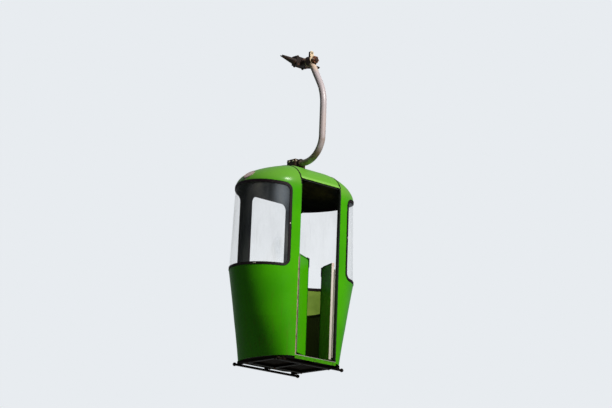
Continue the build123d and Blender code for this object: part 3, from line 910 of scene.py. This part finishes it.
class CABIN_OT_finishes(bpy.types.Operator):
    """Finishes of the solids that come with the cabin"""

    bl_idname = "cabin.finishes"
    bl_label = "Finishes"

    def execute(self, context):
        wear_the(("shell_front", "shell_rear", "roof_panel", "side_panel"), gel_coat())
        leaves = gel_coat("door_gel_coat", lined=False)
        wear_the(("sill_apron", "door_left_panel", "door_right_panel"), leaves)
        wear_the(("window_front", "window_rear", "side_window"), acrylic())
        wear_the(("gasket_front", "gasket_rear", "side_gasket", "roof_seals"), gasket_rubber())
        painted = plain_laminate("painted_rubber", linear(38, 112, 10), linear(28, 62, 14), 0.5, 0.12)
        wear_the(("door_left_seal", "door_right_seal"), painted)
        wear_the(("hanger_arm",), arm_paint())
        wear_the(("hanger_eye",), eye_steel())
        grip = rusty_steel("grip_steel", linear(40, 30, 26), linear(112, 66, 40), 0.35)
        wear_the(("grip_jaw", "grip_keeper", "saddle_block", "arm_collar"), grip)
        nut = rusty_steel("nut_steel", linear(120, 86, 66), linear(150, 84, 48), 0.7)
        wear_the(("stem_nut",), nut)
        under = rusty_steel("underframe_steel", linear(20, 13, 9), linear(58, 34, 22), 0.35, 0.12)
        wear_the(("underframe", "guide_rail_near", "guide_rail_far"), under)
        edges = ("sill_strip", "hinge_front", "hinge_rear", "door_left_channel", "door_right_channel")
        wear_the(edges, Worn("edge_aluminium"))
        dark = plain_laminate("seat_laminate", linear(26, 30, 24), linear(52, 56, 46), 0.45)
        wear_the(("seat_front", "seat_rear", "seat_skirt_front", "seat_skirt_rear"), dark)
        posts = plain_laminate("frame_paint", linear(22, 30, 16), linear(50, 56, 40), 0.45)
        wear_the(("door_post_rear", "door_header"), posts)
        wear_the(("door_post_front",), worn_post())
        board = plain_laminate("floor_board", linear(24, 16, 11), linear(50, 34, 22), 0.8, 0.1)
        wear_the(("floor_pan",), board)
        disc = plain_laminate("disc_paint", linear(214, 190, 186), linear(176, 146, 140), 0.5)
        wear_the(("number_disc_front", "number_disc_rear"), disc)
        return {"FINISHED"}


class CABIN_OT_gasket_strips(bpy.types.Operator):
    """Locking strips in the window gaskets, and the clips that hold them"""

    bl_idname = "cabin.gasket_strips"
    bl_label = "Gasket strips"

    def execute(self, context):
        strip = locking_strip()
        for end, side in (("front", -1), ("rear", 1)):
            ring = bead(window_ring(side), STRIP_RADIUS, True)
            settle([ring], "gasket_strip_" + end, "cabin", strip)
        settle([bead(side_ring(), STRIP_RADIUS, True)], "gasket_strip_side", "cabin", strip)

        places = [(turn_at(WINDOW_EDGE, CLIP_HEIGHT), CLIP_HEIGHT)]
        places += [(turn, WINDOW_SILL) for turn in CLIP_TURNS]
        spots = []
        for side in (-1, 1):
            for turn, height in places:
                place, outward = on_skin(turn, height, CLIP_PROUD)
                for flip in (1, -1):
                    mirror = Vector((side, flip, 1))
                    spots.append((place * mirror, outward * mirror))
        bright = rusty_steel("clip_steel", linear(214, 204, 196), linear(176, 132, 104), 0.1)
        spread(bolt_master(*CLIP), spots, "gasket_clips", "cabin", bright)
        return {"FINISHED"}


class CABIN_OT_roof_trim(bpy.types.Operator):
    """Drip lips and rubber beads of the roof strip, and rims round the number discs"""

    bl_idname = "cabin.roof_trim"
    bl_label = "Roof trim"

    def execute(self, context):
        half = plan_at(HEADER)[2]
        lips = []
        for side in (-1, 1):
            start = (-LIP_HALF_LENGTH, side * half - LIP_HALF_WIDTH, SILL + HEADER - LIP_SUNK)
            end = (LIP_HALF_LENGTH, side * half + LIP_HALF_WIDTH, SILL + HEADER + LIP_RISE)
            lips.append(slab(start, end, 0.0022))
        settle(lips, "drip_lips", "cabin", lip_laminate())

        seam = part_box("roof_panel")[1].x + 0.001
        beads = []
        for side in (-1, 1):
            line = []
            for step in range(SEAM_STEPS + 1):
                y = (half - 0.001) * sin(pi * (step / SEAM_STEPS - 0.5))
                line.append((side * seam, y, SILL + roof_height(seam, y) - SEAM_SUNK))
            beads.append(bead(line, SEAM_RADIUS, sides=4))
        settle(beads, "roof_seam_beads", "cabin", Worn("gasket_rubber"))

        rims = []
        for side in (-1, 1):
            facing = Vector((side * sin(DISC_LEAN), 0, cos(DISC_LEAN)))
            place = Vector((side * DISC_ALONG, 0, SILL + DISC_HEIGHT)) + facing * 0.003
            across = Vector((0, 1, 0))
            down = facing.cross(across)
            ring = []
            for step in range(RIM_STEPS):
                swing = 2 * pi * step / RIM_STEPS
                spot = place + (across * cos(swing) + down * sin(swing)) * RIM_RADIUS
                ring.append(snug(spot, facing, 0.004))
            rims.append(bead(ring, RIM_BEAD, True))
        metal = rusty_steel("rim_metal", linear(150, 132, 124), linear(120, 88, 66), 0.2)
        settle(rims, "disc_rims", "cabin", metal)
        return {"FINISHED"}


class CABIN_OT_fasteners(bpy.types.Operator):
    """Bolts, screws, pins and welds of the hanger, the grip and the underframe"""

    bl_idname = "cabin.fasteners"
    bl_label = "Fasteners"

    def execute(self, context):
        bright = rusty_steel("bolt_zinc", linear(206, 190, 172), linear(150, 98, 62), 0.25)
        dark = rusty_steel("bolt_dark", linear(72, 58, 50), linear(128, 76, 46), 0.5)
        low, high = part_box("saddle_block")
        level = high.z - SADDLE_BOLT_DROP
        spots = []
        for side in (-1, 1):
            for y in (-SADDLE_BOLT_Y, SADDLE_BOLT_Y):
                spots.append(((side * high.x, y, level), (side, 0, 0)))
            for x in (-SADDLE_BOLT_X, SADDLE_BOLT_X):
                spots.append(((x, low.y if side < 0 else high.y, level), (0, side, 0)))
        spread(bolt_master(*SADDLE_BOLT), spots, "saddle_bolts", "cabin", bright)

        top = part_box("grip_keeper")[1].z
        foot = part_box("grip_jaw")[0].z
        spots = []
        for x in (-GRIP_BOLT_X, GRIP_BOLT_X):
            for y in (-GRIP_BOLT_Y, GRIP_BOLT_Y):
                spots.append(((x, y, top), (0, 0, 1)))
                spots.append(((x, y, foot), (0, 0, -1)))
        spread(bolt_master(*GRIP_BOLT), spots, "grip_bolts", "grip", dark)

        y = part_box("stem_nut")[0].y + 0.005
        line = []
        for step in range(1, PIN_STEPS):
            swing = 2 * pi * step / PIN_STEPS
            x = -PIN_HALF - 0.003 - PIN_EYE * (1 - cos(swing))
            line.append((x, y, EYE.z + PIN_EYE * sin(swing)))
        line += [(-PIN_HALF, y, EYE.z), (PIN_HALF, y, EYE.z), (PIN_HALF + 0.006, y - 0.002, EYE.z - 0.008)]
        settle([bead(line, 0.0024)], "nut_pin", "grip", bright)

        weld = rusty_steel("weld_steel", linear(150, 128, 108), linear(120, 76, 48), 0.4)
        arm_way = Vector((0, -sin(ARM_LEAN), -cos(ARM_LEAN)))
        low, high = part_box("arm_collar")
        collar_face = (0, low.y - 0.0005, (low.z + high.z) / 2)
        beads = [
            weld_ring(EYE + arm_way * WELD_DROP, arm_way, 0.0038, 26),
            weld_ring(collar_face, (0, 1, 0), 0.0036, 26),
        ]
        settle(beads, "arm_welds", "cabin", weld)

        spots = []
        for x in (-BEARER_X, 0, BEARER_X):
            spots += [((x, y, SILL - BEARER_BOLT_DROP), (0, 0, -1)) for y in BEARER_BOLT_Y]
        spread(bolt_master(*BEARER_BOLT), spots, "bearer_bolts", "cabin", dark)
        spots = []
        for x in (-BEARER_X, BEARER_X):
            for y in (-RAIL_Y, RAIL_Y):
                for side in (-1, 1):
                    place = (x + side * RAIL_BOLT_X, y, SILL - RAIL_BOLT_DROP)
                    spots.append((place, (side, 0, 0)))
        spread(bolt_master(*RAIL_BOLT), spots, "rail_bolts", "cabin", dark)
        return {"FINISHED"}


class CABIN_OT_doorway(bpy.types.Operator):
    """Latch bars, the screws of the channels, hinges and apron, and the treads of the sill"""

    bl_idname = "cabin.doorway"
    bl_label = "Doorway"

    def execute(self, context):
        black = plain_laminate("latch_black", linear(16, 16, 16), linear(44, 40, 38), 0.4)
        steel = rusty_steel("screw_steel", linear(206, 196, 188), linear(146, 92, 60), 0.3)
        for leaf, side in (("left", -1), ("right", 1)):
            place = leaf_place(leaf)
            top = SILL + LEAF_TOPS[leaf]
            bars = []
            for reach, depth in LATCH_BARS:
                start = (side * LATCH_START, LEAF_FACE - LATCH_FRONT, top - depth)
                end = (side * reach, LEAF_FACE + LATCH_BACK, top)
                bars.append(slab(start, end, 0.002, place))
            settle(bars, "latch_" + leaf, "door_" + leaf, black)
            outward = place.to_3x3() @ Vector((0, -1, 0))
            number, first, pitch = CHANNEL_ROW
            spots = []
            for step in range(number):
                height = SILL + first + pitch * step
                spot = Vector((side * CHANNEL_SCREW_X, LEAF_FACE - CHANNEL_SCREW_PROUD, height))
                spots.append((place @ spot, outward))
            screw = bolt_master(*CHANNEL_SCREW)
            spread(screw, spots, "channel_screws_" + leaf, "door_" + leaf, steel)
        number, first, pitch = HINGE_ROW
        spots = []
        for side in (-1, 1):
            for step in range(number):
                place = (side * HINGE_SCREW_X, HINGE_SCREW_Y, SILL + first + pitch * step)
                spots.append((place, (0, 1, 0)))
        screw = bolt_master(*HINGE_SCREW)
        spread(screw, spots, "hinge_screws", "cabin", steel)

        treads = []
        for row in range(TREADS):
            y = TREAD_START + TREAD_PITCH * row
            end = (TREAD_HALF, y + TREAD_WIDTH, SILL + TREAD_HEIGHT)
            treads.append(slab((-TREAD_HALF, y, SILL), end, 0.0005))
        settle(treads, "sill_tread", "cabin", Worn("edge_aluminium"))
        worn = rusty_steel("apron_screw_steel", linear(98, 92, 58), linear(96, 60, 38), 0.5)
        number, first, pitch = APRON_ROW
        spots = []
        for step in range(number):
            place = (first + pitch * step, APRON_SCREW_Y, SILL - APRON_SCREW_DROP)
            spots.append((place, (0, -1, 0)))
        spread(bolt_master(*APRON_SCREW), spots, "apron_screws", "cabin", worn)
        return {"FINISHED"}


class CABIN_OT_inside(bpy.types.Operator):
    """Floor mat and the rolled edges of the seats"""

    bl_idname = "cabin.inside"
    bl_label = "Inside"

    def execute(self, context):
        deselect()
        bpy.ops.mesh.primitive_grid_add(
            x_subdivisions=MAT_RIBS, y_subdivisions=1, size=1, location=(0, 0.012, SILL + MAT_THICKNESS)
        )
        mat = context.active_object
        mat.scale = (MAT_SIDE, MAT_SIDE, 1)
        bpy.ops.object.transform_apply(location=True, rotation=True, scale=True)
        bpy.ops.object.mode_set(mode="EDIT")
        mesh = bmesh.from_edit_mesh(mat.data)
        pitch = MAT_SIDE / MAT_RIBS
        choose(mesh, lambda face: int((face.calc_center_median().x + MAT_SIDE / 2) / pitch) % 2 == 0)
        bpy.ops.mesh.extrude_region_move(TRANSFORM_OT_translate={"value": (0, 0, MAT_RELIEF)})
        bpy.ops.object.mode_set(mode="OBJECT")
        shell = mat.modifiers.new("thickness", "SOLIDIFY")
        shell.thickness = MAT_THICKNESS
        shell.offset = -1
        bpy.ops.object.modifier_apply(modifier=shell.name)
        rubber = plain_laminate("mat_rubber", linear(36, 36, 34), linear(72, 66, 54), 0.7)
        settle([mat], "floor_mat", "cabin", rubber)

        edges = []
        bow = (SEAT_HALF ** 2 + SEAT_DIP ** 2) / (2 * SEAT_DIP)
        for side in (-1, 1):
            line = []
            for step in range(2 * SEAT_EDGE_STEPS + 1):
                y = SEAT_EDGE_HALF * (step / SEAT_EDGE_STEPS - 1)
                dish = bow - sqrt(bow * bow - y * y)
                line.append((side * SEAT_EDGE_X, y, SILL + SEAT_EDGE_HEIGHT + dish))
            edges.append(bead(line, SEAT_EDGE_RADIUS, sides=4))
        edge = plain_laminate("seat_edge", linear(30, 33, 27), linear(58, 60, 50), 0.4)
        settle(edges, "seat_edges", "cabin", edge)
        return {"FINISHED"}


class CABIN_PT_panel(bpy.types.Panel):
    """Colours of the cabin, and the buttons that make it, to be pressed from the top down"""

    bl_label = "Cable car cabin"
    bl_idname = "CABIN_PT_panel"
    bl_space_type = "VIEW_3D"
    bl_region_type = "UI"
    bl_category = "Cabin"

    def draw(self, context):
        for name in ("body", "body_shade", "arm", "rubber"):
            self.layout.prop(context.scene.cabin_colours, name)
        for operator in OPERATORS:
            self.layout.operator(operator.bl_idname)


OPERATORS = (
    CABIN_OT_stage, CABIN_OT_finishes, CABIN_OT_gasket_strips, CABIN_OT_roof_trim,
    CABIN_OT_fasteners, CABIN_OT_doorway, CABIN_OT_inside,
)
CLASSES = (CabinColours, *OPERATORS, CABIN_PT_panel)


def register():
    for item in CLASSES:
        bpy.utils.register_class(item)
    bpy.types.Scene.cabin_colours = bpy.props.PointerProperty(type=CabinColours)


def unregister():
    del bpy.types.Scene.cabin_colours
    for item in reversed(CLASSES):
        bpy.utils.unregister_class(item)


def main():
    register()
    bpy.ops.cabin.stage()
    bpy.ops.cabin.finishes()
    bpy.ops.cabin.gasket_strips()
    bpy.ops.cabin.roof_trim()
    bpy.ops.cabin.fasteners()
    bpy.ops.cabin.doorway()
    bpy.ops.cabin.inside()


if __name__ == "__main__":
    main()
